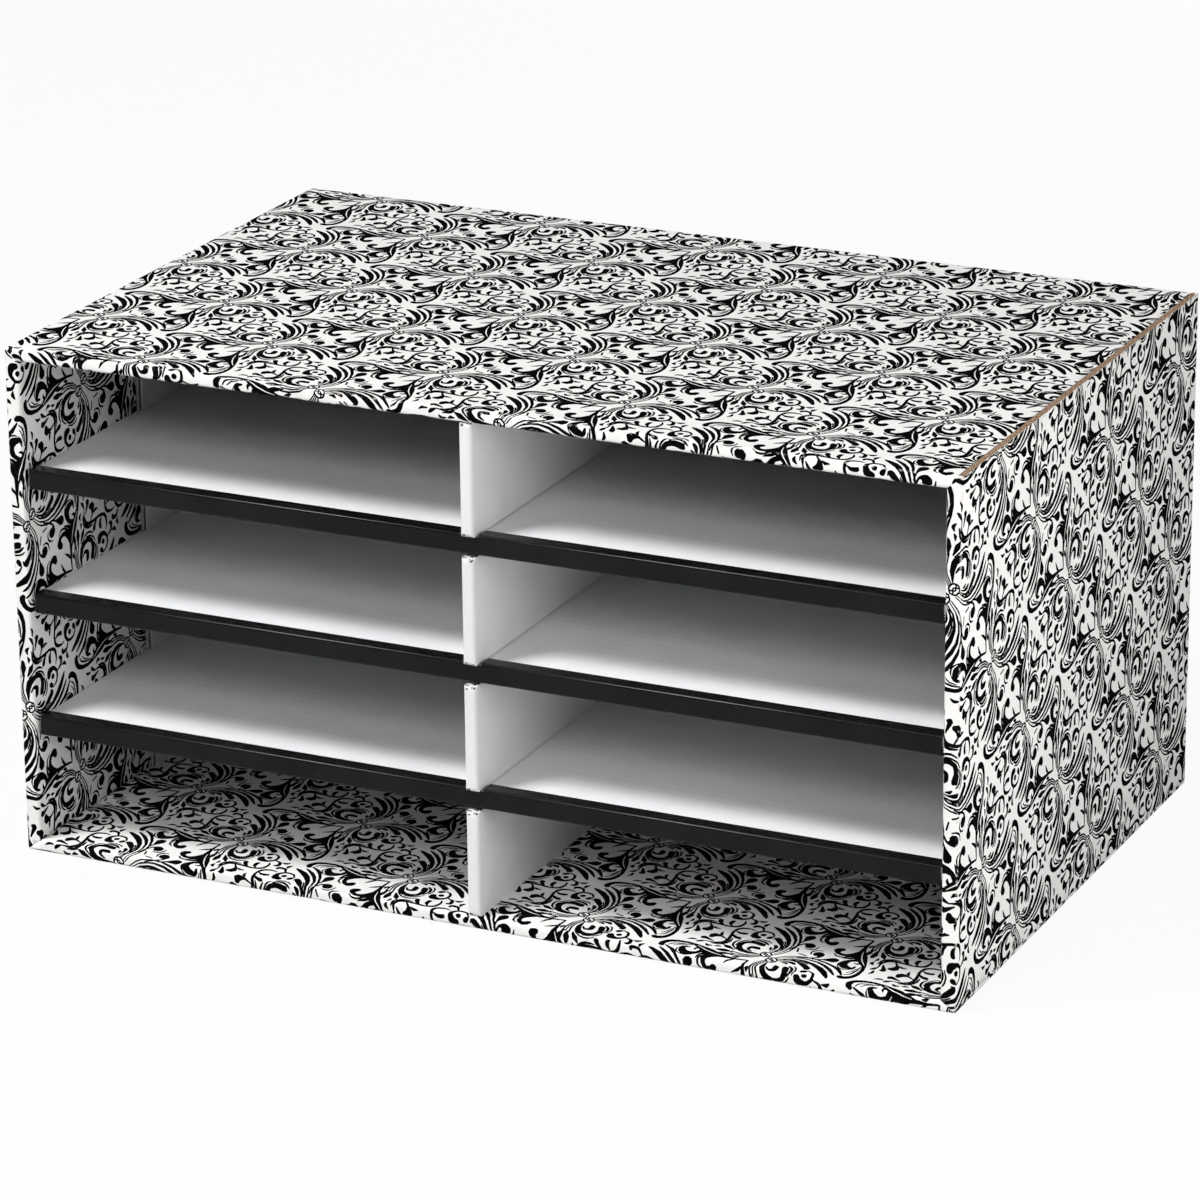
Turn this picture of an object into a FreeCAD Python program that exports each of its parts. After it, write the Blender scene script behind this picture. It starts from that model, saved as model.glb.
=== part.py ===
import FreeCAD, Part
import math
import os

# A desktop sorter of corrugated board with eight pigeonholes. Sizes are in millimetres.
# The origin is the middle of the footprint, on the surface that the sorter stands on.
# X runs to the right across the open front, Y from the front to the back, Z up.

# Outside of the printed case
WIDTH = 495.3
DEPTH = 314.3
HEIGHT = 260.4

# Printed board of the case, folded over at the front of every wall
CASE_PLY = 2.6
CASE_FOLD_RADIUS = 1.2
COVER_GAP = 1.0
SIDE_GAP = 0.1
SIDE_FLAP_DEPTH = 110.0
RAW_EDGE_GAP = 0.6
TAB_MEETING_GAP = 12.0
BACK_FLAP_WIDTH = 60.0
TUCK_CLEARANCE = 0.3

# White board of the parts that fill the case, each one a sheet folded double
INSERT_PLY = 2.9
INSERT_FOLD_RADIUS = 1.6
DIVIDER_GAP = 0.7
SHELF_GAP = 1.2
LINER_GAP = 0.1
LINER_WEB = 12.0
LAP_DEPTH = 153.0
LAP_SIDE_CLEARANCE = 0.4
LAP_TOP_CLEARANCE = 0.3
SHELF_END_CLEARANCE = 0.45

# Black moulded channel on the front edge of each shelf
TRIM_WALL = 1.6
TRIM_FLANGE = 8.0
TRIM_EDGE_RADIUS = 1.3
TRIM_SETBACK = 2.5
TRIM_END_GAP = 1.65
TRIM_NOTCH_CLEARANCE = 1.75
TRIM_DROP_CLEARANCE = 1.3
TRIM_BACK_CLEARANCE = 1.5

SHELF_LEVELS = ("bottom", "middle", "top")
SIDES = {"left": -1, "right": 1}

# Planes that the pieces share
FRONT = -DEPTH / 2
BACK = DEPTH / 2
COVER = 2 * CASE_PLY + COVER_GAP
SIDE = 3 * CASE_PLY + 2 * SIDE_GAP
FLOOR = COVER
CEILING = HEIGHT - COVER
TAB_INSET = CASE_PLY + SIDE_GAP
LINER_INSET = TAB_INSET + CASE_PLY
BACK_FLAP_REAR = BACK - CASE_PLY - SIDE_GAP
BACK_FLAP_FRONT = BACK_FLAP_REAR - CASE_PLY
DIVIDER = 2 * INSERT_PLY + DIVIDER_GAP
SHELF = 2 * INSERT_PLY + SHELF_GAP
LINER = 2 * INSERT_PLY + LINER_GAP
LAP = FRONT + LAP_DEPTH
LINER_FRONT = FRONT + SIDE_FLAP_DEPTH + TUCK_CLEARANCE
SHELF_REAR = BACK_FLAP_FRONT - LINER_WEB
TRIM_FACE = FRONT + TRIM_SETBACK
SHELF_FRONT = TRIM_FACE + TRIM_WALL
TAB_HEIGHT = (CEILING - FLOOR - TAB_MEETING_GAP) / 2
PIGEONHOLE = (CEILING - FLOOR - len(SHELF_LEVELS) * SHELF) / (len(SHELF_LEVELS) + 1)

# How far a cutting solid runs past what it cuts
PAST = 5.0


def inset_x(side, inset):
    """Place across the case, counted inwards from the left or right outer face."""
    return side * (WIDTH / 2 - inset)


def shelf_underside(level):
    """Height of the lower face of a shelf, by its number from the bottom."""
    return FLOOR + (level + 1) * PIGEONHOLE + level * SHELF


def block(x_ends, y_ends, z_ends):
    """Box between two places along each axis, given in either order."""
    low = FreeCAD.Vector(min(x_ends), min(y_ends), min(z_ends))
    high = FreeCAD.Vector(max(x_ends), max(y_ends), max(z_ends))
    size = high - low
    return Part.makeBox(size.x, size.y, size.z, low)


def rounded_face(corners):
    """Flat face through corners of (point, radius), with an arc where the radius isn't 0."""
    edges = []
    ends = []
    for index, (here, radius) in enumerate(corners):
        to_before = (corners[index - 1][0] - here).normalize()
        to_after = (corners[(index + 1) % len(corners)][0] - here).normalize()
        half_turn = to_before.getAngle(to_after) / 2
        setback = radius / math.tan(half_turn)
        start = here + to_before * setback
        end = here + to_after * setback
        ends.append((start, end))
        if radius > 0:
            inwards = (to_before + to_after).normalize()
            middle = here + inwards * (radius / math.sin(half_turn) - radius)
            edges.append(Part.Arc(start, middle, end).toShape())
    for index, (start, end) in enumerate(ends):
        edges.append(Part.LineSegment(ends[index - 1][1], start).toShape())
    return Part.Face(Part.Wire(Part.__sortEdges__(edges)))


def extruded(corners, along):
    """Solid swept from a rounded face, turned right side out."""
    solid = rounded_face(corners).extrude(along)
    if solid.Volume < 0:
        solid.reverse()
    return solid


def folded_sheet(ply, thickness, first_depth, second_depth, radius):
    """Section of a sheet folded double at its front: (depth, height, radius) of each corner."""
    return [
        (0, 0, radius),
        (first_depth, 0, 0),
        (first_depth, ply, 0),
        (ply, ply, 0),
        (ply, thickness - ply, 0),
        (second_depth, thickness - ply, 0),
        (second_depth, thickness, 0),
        (0, thickness, radius),
    ]


def level_fold(section, front, base, up, x_ends):
    """Folded sheet that lies level: its section stands in the YZ plane."""
    start = min(x_ends)
    corners = []
    for depth, height, radius in section:
        corners.append((FreeCAD.Vector(start, front + depth, base + up * height), radius))
    return extruded(corners, FreeCAD.Vector(max(x_ends) - start, 0, 0))


def upright_fold(section, front, outer, inwards, z_ends):
    """Folded sheet that stands upright: its section lies in the XY plane."""
    start = min(z_ends)
    corners = []
    for depth, height, radius in section:
        corners.append((FreeCAD.Vector(outer + inwards * height, front + depth, start), radius))
    return extruded(corners, FreeCAD.Vector(0, 0, max(z_ends) - start))


def mitre_wedge(side, level, rim_of_cover):
    """Corner of the front rim that belongs to the neighbour across the mitre."""
    outer_z = HEIGHT if level > 0 else 0
    inner_z = CEILING if level > 0 else FLOOR
    outer = FreeCAD.Vector(inset_x(side, 0), FRONT - PAST, outer_z)
    inner = FreeCAD.Vector(inset_x(side, SIDE), FRONT - PAST, inner_z)
    run = outer - inner
    past_outer = outer + run
    past_inner = inner - run
    if rim_of_cover:
        far = FreeCAD.Vector(past_outer.x, past_outer.y, past_inner.z)
    else:
        far = FreeCAD.Vector(past_inner.x, past_inner.y, past_outer.z)
    triangle = [(past_outer, 0), (past_inner, 0), (far, 0)]
    return extruded(triangle, FreeCAD.Vector(0, PAST + CASE_PLY, 0))


def cover_wall(level, raw_side):
    """Top (level 1) or bottom (level -1): outer ply, front rim and inner flap in one piece."""
    outer_z = HEIGHT if level > 0 else 0
    inner_z = CEILING if level > 0 else FLOOR
    section = folded_sheet(CASE_PLY, COVER, DEPTH, BACK_FLAP_FRONT - TUCK_CLEARANCE - FRONT,
                           CASE_FOLD_RADIUS)
    wall = level_fold(section, FRONT, outer_z, -level, (-WIDTH / 2, WIDTH / 2))
    behind_rim = (FRONT + CASE_PLY, BACK + PAST)
    for side in SIDES.values():
        wall = wall.cut(mitre_wedge(side, level, True))
        if side == raw_side:
            reach = (outer_z + level * PAST, inner_z - level * PAST)
        else:
            reach = (outer_z - level * CASE_PLY, inner_z - level * PAST)
        trimmed = (inset_x(side, -PAST), inset_x(side, CASE_PLY + RAW_EDGE_GAP))
        wall = wall.cut(block(trimmed, behind_rim, reach))
    return wall


def side_wall(side, raw_top):
    """Left or right side: outer ply, front rim and the short flap turned in behind it."""
    section = folded_sheet(CASE_PLY, SIDE, DEPTH, SIDE_FLAP_DEPTH, CASE_FOLD_RADIUS)
    wall = upright_fold(section, FRONT, inset_x(side, 0), -side, (0, HEIGHT))
    behind_rim = (FRONT + CASE_PLY, BACK + PAST)
    all_plies = (inset_x(side, -PAST), inset_x(side, SIDE + PAST))
    flap_only = (inset_x(side, CASE_PLY), inset_x(side, SIDE + PAST))
    wall = wall.cut(block(all_plies, behind_rim, (-PAST, CASE_PLY)))
    wall = wall.cut(block(flap_only, behind_rim, (-PAST, FLOOR)))
    wall = wall.cut(block(flap_only, behind_rim, (CEILING, HEIGHT + PAST)))
    if not raw_top:
        wall = wall.cut(block(all_plies, behind_rim, (HEIGHT - CASE_PLY, HEIGHT + PAST)))
    for level in (-1, 1):
        wall = wall.cut(mitre_wedge(side, level, False))
    return wall


def back_panel():
    """Back of the case, hung from the top and tucked in between the other walls."""
    across = WIDTH / 2 - CASE_PLY - TUCK_CLEARANCE
    return block((-across, across), (BACK - CASE_PLY, BACK),
                 (CASE_PLY + TUCK_CLEARANCE, HEIGHT - CASE_PLY))


def back_dust_flap(side):
    """Flap turned in from the rear edge of a side, flat behind the back panel."""
    return block((inset_x(side, CASE_PLY), inset_x(side, CASE_PLY + BACK_FLAP_WIDTH)),
                 (BACK_FLAP_FRONT, BACK_FLAP_REAR),
                 (CASE_PLY + TUCK_CLEARANCE, HEIGHT - CASE_PLY - TUCK_CLEARANCE))


def corner_tab(side, level):
    """Middle ply of a side: a tab turned down from the ceiling or up from the floor."""
    root = CEILING if level > 0 else FLOOR
    return block((inset_x(side, TAB_INSET), inset_x(side, TAB_INSET + CASE_PLY)),
                 (FRONT + CASE_PLY + TUCK_CLEARANCE, BACK_FLAP_FRONT - TUCK_CLEARANCE),
                 (root, root - level * TAB_HEIGHT))


def side_liner(side):
    """Doubled white board against a side, with a slot open to the front for each shelf."""
    depth = BACK_FLAP_FRONT - LINER_FRONT
    section = folded_sheet(INSERT_PLY, LINER, depth, depth, INSERT_FOLD_RADIUS)
    liner = upright_fold(section, LINER_FRONT, inset_x(side, LINER_INSET), -side,
                         (FLOOR, CEILING))
    across = (inset_x(side, 0), inset_x(side, LINER_INSET + LINER + PAST))
    for level in range(len(SHELF_LEVELS)):
        underside = shelf_underside(level)
        opening = (underside, underside + SHELF + LAP_TOP_CLEARANCE)
        liner = liner.cut(block(across, (LINER_FRONT - PAST, SHELF_REAR), opening))
    return liner


def centre_divider():
    """Upright folded sheet that stops the shelves from sagging, slotted to half its depth."""
    depth = BACK - CASE_PLY - FRONT
    section = folded_sheet(INSERT_PLY, DIVIDER, depth, depth, INSERT_FOLD_RADIUS)
    divider = upright_fold(section, FRONT, -DIVIDER / 2, 1, (FLOOR, CEILING))
    across = (-DIVIDER, DIVIDER)
    trim_mouth = (FRONT - PAST, TRIM_FACE + TRIM_FLANGE + TRIM_BACK_CLEARANCE)
    for level in range(len(SHELF_LEVELS)):
        underside = shelf_underside(level)
        top = underside + SHELF + LAP_TOP_CLEARANCE
        below_trim = underside - TRIM_WALL - TRIM_DROP_CLEARANCE
        divider = divider.cut(block(across, (FRONT - PAST, LAP), (underside, top)))
        divider = divider.cut(block(across, trim_mouth, (below_trim, top)))
    return divider


def shelf_board(level):
    """Shelf sheet folded at its front edge, slotted from the rear to straddle the divider."""
    half_width = WIDTH / 2 - SIDE - SHELF_END_CLEARANCE
    depth = SHELF_REAR - SHELF_FRONT
    section = folded_sheet(INSERT_PLY, SHELF, depth, depth, 0)
    underside = shelf_underside(level)
    board = level_fold(section, SHELF_FRONT, underside, 1, (-half_width, half_width))
    half_slot = DIVIDER / 2 + LAP_SIDE_CLEARANCE
    slot = block((-half_slot, half_slot), (LAP, SHELF_REAR + PAST),
                 (underside - PAST, underside + SHELF + PAST))
    return board.cut(slot)


def shelf_trim(level):
    """Channel pressed over the shelf's front edge, notched for the foot of the divider."""
    half_width = WIDTH / 2 - SIDE - TRIM_END_GAP
    thickness = SHELF + 2 * TRIM_WALL
    section = folded_sheet(TRIM_WALL, thickness, TRIM_FLANGE, TRIM_FLANGE, TRIM_EDGE_RADIUS)
    underside = shelf_underside(level)
    trim = level_fold(section, TRIM_FACE, underside - TRIM_WALL, 1, (-half_width, half_width))
    half_notch = DIVIDER / 2 + TRIM_NOTCH_CLEARANCE
    notch = block((-half_notch, half_notch), (TRIM_FACE - PAST, TRIM_FACE + TRIM_FLANGE + PAST),
                  (underside + SHELF, underside + SHELF + PAST))
    return trim.cut(notch)


def build_sorter():
    """Every piece by its name."""
    pieces = {
        "case_top": cover_wall(1, SIDES["right"]),
        "case_bottom": cover_wall(-1, None),
        "case_left": side_wall(SIDES["left"], False),
        "case_right": side_wall(SIDES["right"], True),
        "case_back": back_panel(),
        "centre_divider": centre_divider(),
    }
    for name, side in SIDES.items():
        pieces["back_dust_flap_" + name] = back_dust_flap(side)
        pieces["ceiling_tab_" + name] = corner_tab(side, 1)
        pieces["floor_tab_" + name] = corner_tab(side, -1)
        pieces["side_liner_" + name] = side_liner(side)
    for level, name in enumerate(SHELF_LEVELS):
        pieces["shelf_board_" + name] = shelf_board(level)
        pieces["shelf_trim_" + name] = shelf_trim(level)
    return pieces


os.makedirs("parts", exist_ok=True)
for node, shape in build_sorter().items():
    print(node, "solids", len(shape.Solids), "valid", shape.isValid(), "mm3", round(shape.Volume))
    shape.exportStep("parts/" + node + ".step")
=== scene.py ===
"""Looks of a desktop paper sorter in printed corrugated board.

A case folded from a printed blank holds a white divider and three shelves edged in black
moulded channels. Everything is in metres, X to the right across the open front, Y from the
front to the back and Z up, in the frame of the packed model.
"""
import math

import bmesh
import bpy
import numpy as np
from bpy.props import FloatProperty, FloatVectorProperty, IntProperty, PointerProperty
from mathutils import Matrix, Vector
from mathutils.geometry import delaunay_2d_cdt


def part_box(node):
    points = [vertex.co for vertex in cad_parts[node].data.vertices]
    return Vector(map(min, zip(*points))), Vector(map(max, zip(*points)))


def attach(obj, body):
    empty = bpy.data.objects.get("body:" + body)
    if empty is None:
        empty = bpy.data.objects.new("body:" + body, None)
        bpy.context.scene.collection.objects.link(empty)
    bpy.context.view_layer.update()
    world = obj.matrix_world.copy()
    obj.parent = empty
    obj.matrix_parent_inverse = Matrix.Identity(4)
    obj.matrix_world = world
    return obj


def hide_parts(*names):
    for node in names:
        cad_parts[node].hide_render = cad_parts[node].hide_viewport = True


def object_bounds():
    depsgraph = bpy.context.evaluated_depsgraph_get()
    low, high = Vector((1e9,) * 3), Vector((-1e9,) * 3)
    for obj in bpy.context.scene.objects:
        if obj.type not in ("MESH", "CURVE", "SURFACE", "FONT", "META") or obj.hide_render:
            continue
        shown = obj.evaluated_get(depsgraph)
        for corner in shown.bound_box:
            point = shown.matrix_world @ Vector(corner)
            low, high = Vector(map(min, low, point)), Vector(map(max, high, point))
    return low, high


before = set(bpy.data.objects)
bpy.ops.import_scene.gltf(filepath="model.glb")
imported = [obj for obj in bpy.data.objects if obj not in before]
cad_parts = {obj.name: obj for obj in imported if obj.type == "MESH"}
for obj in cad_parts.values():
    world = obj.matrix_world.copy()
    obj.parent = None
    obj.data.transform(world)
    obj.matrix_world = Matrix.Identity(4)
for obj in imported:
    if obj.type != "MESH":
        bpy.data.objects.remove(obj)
PACKED_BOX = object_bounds()

bl_info = {
    "name": "Literature organizer",
    "version": (1, 0, 0),
    "blender": (4, 5, 0),
    "location": "3D View > Sidebar > Organizer",
    "description": "Paper sorter in printed corrugated board with eight pigeonholes",
    "category": "Add Mesh",
}

MM = 0.001
LEVELS = ("bottom", "middle", "top")
SIDES = {"left": -1, "right": 1}
UP = Vector((0, 0, 1))
AHEAD = Vector((0, 1, 0))
ACROSS = Vector((1, 0, 0))

# Places that the packed solids give
LOW, HIGH = (Vector(corner) for corner in PACKED_BOX)
HALF_WIDTH = HIGH.x
FRONT = LOW.y
BACK = HIGH.y
TOP = HIGH.z
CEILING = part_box("case_top")[0].z
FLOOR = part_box("case_bottom")[1].z
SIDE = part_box("case_left")[1].x + HALF_WIDTH
CASE_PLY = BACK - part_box("case_back")[0].y
SIDE_FLAP_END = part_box("side_liner_left")[0].y
COVER_FLAP_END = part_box("ceiling_tab_left")[1].y
BACK_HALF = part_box("case_back")[1].x
BACK_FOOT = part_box("case_back")[0].z

# Small gaps and depths of the boards
FLAP_GAP = 0.3 * MM      # between a turned-in side flap and the liner behind it
DIVIDER_GAP = 0.7 * MM   # between the two plies of the divider
SHELF_GAP = 1.2 * MM     # between the two plies of a shelf
FOLD_DEPTH = 1.7 * MM    # how far the divider's front fold reaches back
FLUTE_PAPER = 0.32 * MM  # thickness of the fluted paper
FLUTE_POINTS = 12        # points along one wave of it
STRIP_GAP = 0.2 * MM     # between the fluted strip and the board at its ends

# How finely the print is drawn and cut
CURVE_STEPS = 4                 # points from one given point of a stroke to the next
STROKE_TURN = math.radians(13)  # a point is kept where the stroke has turned this far
STROKE_REACH = 4.5              # or has run on this far, in millimetres
MIRROR_SLIP = 0.01              # in millimetres, so that mirrored strokes share no point
STROKE_JOIN = 1e-4              # outlines closer than this meet, in millimetres
TILE_START = (-0.6, -0.31)      # lower corner of the cut-out repeat, as shares of its size
TILE_MARGIN = 0.8               # how far round an outline repeats are tried, in repeats
NEIGHBOURS = [(column, row) for column in (-1, 0, 1) for row in (-1, 0, 1)]
WELD = 2e-6                     # points closer than this become one
SLIVER = 1e-7                   # edges shorter than this are dropped

# Studio: each lamp's name, place, aim, size and power in watts
LAMPS = (
    ("overhead_softbox", (-1.1, -1.3, 2.5), (0, 0, 0.12), (0.8, 0.8), 87),
    ("front_softbox", (0.2, -2.2, 1.6), (0, 0, 0.12), (1.0, 0.6), 16),
    ("side_softbox", (0.85, -0.32, 0.35), (0.25, -0.35, 0.13), (0.5, 0.4), 4.3),
    ("back_softbox", (0, 2.6, 0.15), (0, 0, 0.13), (0.5, 0.3), 34),
)
FLOOR_REACH = 6        # from the middle of the floor to its edges
FLOOR_DROP = 0.4 * MM  # how far it lies under the sorter
FLOOR_WHITE = 0.94     # share of plain white that the camera sees in the floor
ROOM_LIGHT = 0.10      # strength of the even light from all round

# The ornament. Each stroke of one half of the repeat is a list of (along the mirror line,
# away from it, width) in millimetres. Paper strokes lie over the ink.
SPRAY = (
    # sheaf of plumes
    ("ink", ((4.0, 4.2, 0.3), (9.4, 5.3, 0.7), (14.4, 9.2, 1.2), (17.5, 15.2, 1.9),
             (18.7, 22.2, 2.7), (18.2, 28.2, 2.4), (17.2, 32.0, 0.8))),
    ("ink", ((4.4, 1.5, 0.3), (11.2, 2.5, 0.5), (17.6, 6.3, 0.7), (22.4, 12.6, 0.9),
             (25.3, 20.0, 1.2), (26.2, 26.0, 1.6), (25.2, 31.3, 0.6))),
    ("ink", ((9.6, 3.7, 0.2), (16.0, 7.6, 0.6), (20.4, 13.6, 1.1), (22.2, 20.4, 1.6),
             (22.2, 26.8, 1.4), (21.6, 30.4, 0.4))),
    ("ink", ((4.2, 5.0, 0.2), (8.6, 6.6, 0.5), (11.4, 9.4, 0.8), (12.7, 12.8, 2.1),
             (13.1, 16.6, 3.4), (13.3, 18.6, 2.4))),
    ("ink", ((6.4, 5.2, 0.2), (10.6, 7.2, 0.4), (13.8, 10.8, 0.6), (15.3, 14.4, 0.4))),
    ("ink", ((4.4, 2.6, 0.2), (10.6, 3.9, 0.4), (13.6, 5.8, 0.4))),
    ("ink", ((4.0, 6.0, 0.2), (7.0, 7.6, 0.7), (9.0, 10.0, 1.8), (9.4, 11.8, 1.2))),
    ("ink", ((4.6, 7.6, 0.3), (6.0, 9.0, 1.3), (6.2, 10.4, 0.7))),
    ("ink", ((22.4, 33.6, 0.4), (24.4, 34.6, 1.4), (26.4, 34.2, 0.4))),
    # tie round the sheaf
    ("ink", ((1.3, 0.5, 0.5), (-1.0, 2.0, 0.6), (-1.1, 4.8, 0.6), (1.2, 6.3, 0.6),
             (3.6, 4.8, 0.6), (3.6, 2.0, 0.6), (1.3, 0.5, 0.5))),
    ("ink", ((0.1, 1.4, 0.5), (2.0, 3.4, 0.5), (0.4, 5.6, 0.5))),
    ("ink", ((2.5, 1.4, 0.5), (0.6, 3.4, 0.5), (2.2, 5.6, 0.5))),
    # round scroll
    ("ink", ((-1.6, 5.2, 0.4), (-5.4, 8.6, 2.0), (-7.8, 13.4, 2.6), (-6.4, 18.2, 2.3),
             (-2.4, 20.4, 2.0), (1.6, 18.6, 2.4), (3.8, 15.2, 3.0), (4.0, 13.8, 1.6))),
    ("ink", ((-3.8, 9.6, 0.4), (-4.2, 12.6, 1.2), (-1.8, 14.0, 2.2), (0.2, 12.0, 2.4),
             (0.6, 10.6, 1.2))),
    ("ink", ((-9.6, 14.2, 0.3), (-9.4, 19.2, 0.8), (-6.8, 22.8, 0.9), (-3.6, 24.0, 0.4))),
    ("ink", ((-8.0, 19.2, 0.3), (-5.4, 21.4, 0.6), (-2.0, 22.6, 0.7), (1.4, 22.0, 0.3))),
    ("ink", ((1.0, 21.0, 0.4), (4.4, 19.6, 1.1), (6.4, 16.4, 1.2), (6.4, 13.2, 0.4))),
    ("ink", ((3.4, 21.8, 0.3), (6.6, 19.8, 0.6), (8.4, 16.6, 0.6), (8.4, 14.6, 0.3))),
    # fronds on the other side of the tie
    ("ink", ((-1.4, 4.0, 0.3), (-6.4, 5.8, 0.6), (-10.0, 9.2, 0.7), (-12.4, 13.4, 0.5))),
    ("ink", ((-1.4, 2.4, 0.3), (-6.8, 3.4, 0.6), (-11.6, 6.6, 0.8), (-14.6, 10.0, 0.5))),
    ("ink", ((-1.4, 3.2, 0.2), (-6.6, 4.6, 0.5), (-10.8, 7.9, 0.5), (-13.4, 11.6, 0.3))),
    ("ink", ((-13.0, 9.6, 0.4), (-15.6, 11.4, 2.2), (-18.0, 13.6, 1.6), (-19.0, 14.6, 0.3))),
    ("ink", ((-12.2, 12.0, 0.4), (-14.6, 15.0, 2.6), (-17.2, 17.4, 1.8), (-18.2, 18.0, 0.4))),
    ("ink", ((-10.6, 14.2, 0.4), (-11.8, 18.0, 2.4), (-12.8, 21.2, 1.2), (-13.0, 22.0, 0.3))),
    ("ink", ((-11.4, 5.2, 0.3), (-13.0, 5.8, 1.5), (-14.4, 7.0, 0.4))),
    # long stem with its swash
    ("ink", ((-9.4, 0.2, 0.7), (-13.8, 3.8, 1.1), (-17.8, 8.2, 1.9), (-21.2, 13.2, 4.8),
             (-23.2, 17.8, 5.6), (-23.9, 22.6, 2.8), (-26.0, 27.8, 1.5), (-30.2, 32.7, 1.7),
             (-35.4, 35.2, 2.2), (-39.2, 34.3, 2.6), (-40.2, 32.4, 2.0))),
    ("ink", ((-14.4, 4.0, 0.9), (-17.6, 3.9, 1.3), (-20.8, 2.9, 0.3))),
    ("ink", ((-18.8, 9.6, 1.4), (-23.4, 11.6, 3.0), (-28.0, 10.8, 2.2), (-30.2, 7.2, 1.8),
             (-28.8, 4.0, 3.4), (-27.0, 4.2, 3.0))),
    ("ink", ((-25.4, 13.4, 1.6), (-29.4, 12.8, 0.9), (-32.2, 10.2, 0.8), (-32.2, 6.8, 0.3))),
    ("ink", ((-22.8, 16.0, 2.4), (-27.4, 15.2, 1.4), (-31.0, 13.2, 0.3))),
    ("ink", ((-23.6, 19.6, 2.0), (-28.6, 17.6, 2.2), (-33.2, 19.6, 4.0), (-34.2, 23.6, 4.4),
             (-31.4, 26.2, 2.0), (-28.8, 24.8, 0.6))),
    ("ink", ((-24.0, 22.6, 1.4), (-26.8, 22.4, 1.2), (-28.0, 21.2, 0.4))),
    ("ink", ((-27.0, 26.5, 0.4), (-30.4, 29.7, 0.7), (-34.4, 31.8, 0.7), (-37.4, 31.3, 0.3))),
    ("ink", ((-29.2, 27.4, 0.2), (-32.2, 29.4, 0.5), (-35.4, 29.7, 0.3))),
    ("paper", ((-18.6, 10.2, 0.2), (-21.9, 15.6, 0.5), (-23.6, 20.4, 0.5),
               (-24.6, 25.4, 0.2))),
    ("paper", ((-35.8, 20.4, 0.2), (-35.7, 23.8, 0.5), (-33.6, 26.5, 0.2))),
    # sprig along the edge of the repeat
    ("ink", ((-19.0, 29.0, 0.3), (-15.6, 25.4, 1.3), (-11.0, 25.0, 1.6), (-7.0, 28.8, 1.3),
             (-3.4, 34.0, 1.1), (1.2, 36.6, 1.5), (5.4, 34.5, 1.0), (7.0, 31.5, 0.3))),
    ("ink", ((-18.0, 25.6, 0.3), (-13.8, 22.9, 1.2), (-9.2, 24.0, 1.1), (-6.2, 27.4, 0.3))),
    ("ink", ((-20.4, 26.0, 0.4), (-20.2, 23.8, 1.5), (-18.4, 22.8, 0.4))),
    ("ink", ((-9.4, 27.1, 0.4), (-10.2, 31.1, 1.0), (-12.8, 34.0, 3.6), (-14.6, 33.1, 2.4))),
    ("ink", ((-16.0, 27.8, 0.4), (-17.2, 31.3, 1.0), (-18.4, 33.4, 2.6), (-19.2, 33.1, 1.6))),
    ("ink", ((-18.6, 29.0, 0.3), (-21.8, 30.1, 1.7), (-23.6, 29.9, 0.5))),
    ("ink", ((-4.6, 31.8, 0.3), (-4.6, 28.5, 1.6), (-3.6, 26.2, 2.2), (-3.2, 25.8, 1.2))),
    ("ink", ((-1.4, 34.5, 0.3), (-0.8, 31.8, 1.6), (1.2, 29.9, 1.8), (2.0, 30.1, 0.9))),
    ("ink", ((-26.4, 34.5, 0.3), (-24.2, 34.0, 1.3), (-22.6, 32.0, 0.4))),
    ("ink", ((-7.6, 35.9, 0.4), (-9.2, 34.3, 1.4), (-9.4, 32.4, 0.5))),
    ("ink", ((12.9, 34.3, 0.5), (14.3, 35.9, 1.7), (16.2, 36.1, 0.5))),
    ("ink", ((-15.0, 20.0, 0.3), (-16.2, 21.4, 1.3), (-17.6, 21.8, 0.4))),
    # curl and berries
    ("ink", ((12.6, 21.4, 0.4), (13.4, 25.6, 1.0), (10.6, 29.2, 1.3), (6.4, 29.0, 1.8),
             (4.2, 25.8, 3.2), (5.2, 23.6, 2.6))),
    ("ink", ((8.6, 25.4, 2.4), (8.7, 25.5, 2.4))),
    ("ink", ((10.6, 29.9, 0.5), (11.6, 33.6, 1.3), (9.6, 36.4, 1.8), (8.2, 35.7, 1.2))),
    ("ink", ((9.8, 21.2, 2.2), (11.2, 21.5, 1.8))),
    ("ink", ((12.8, 20.0, 0.4), (11.2, 18.8, 0.4))),
    ("ink", ((16.2, 1.2, 0.6), (17.2, 3.0, 2.6), (18.2, 4.8, 0.6))),
    ("ink", ((13.6, 5.0, 0.4), (18.6, 7.6, 0.8), (22.6, 8.6, 1.0), (24.8, 6.6, 3.4),
             (24.4, 5.2, 4.6))),
    ("ink", ((21.0, 3.8, 0.3), (22.4, 1.6, 0.7), (25.2, 0.9, 0.8), (27.8, 2.6, 0.3))),
    ("ink", ((19.6, 9.6, 0.4), (23.8, 11.6, 0.8), (26.8, 13.4, 2.6), (28.2, 14.2, 4.6),
             (28.6, 14.4, 4.0))),
    ("ink", ((11.6, 12.2, 0.3), (11.9, 9.8, 0.9), (11.0, 8.2, 0.3))),
)


def curve(points, steps):
    """Smooth line through (along, across, width) points, sampled between them."""
    run = [points[0], *points, points[-1]]
    line = []
    for before, here, there, after in zip(run, run[1:], run[2:], run[3:]):
        for step in range(steps):
            t = step / steps
            line.append([
                0.5 * (2 * b + (c - a) * t + (2 * a - 5 * b + 4 * c - d) * t * t
                       + (3 * b - a - 3 * c + d) * t ** 3)
                for a, b, c, d in zip(before, here, there, after)])
    line.append(list(points[-1]))
    return line


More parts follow.
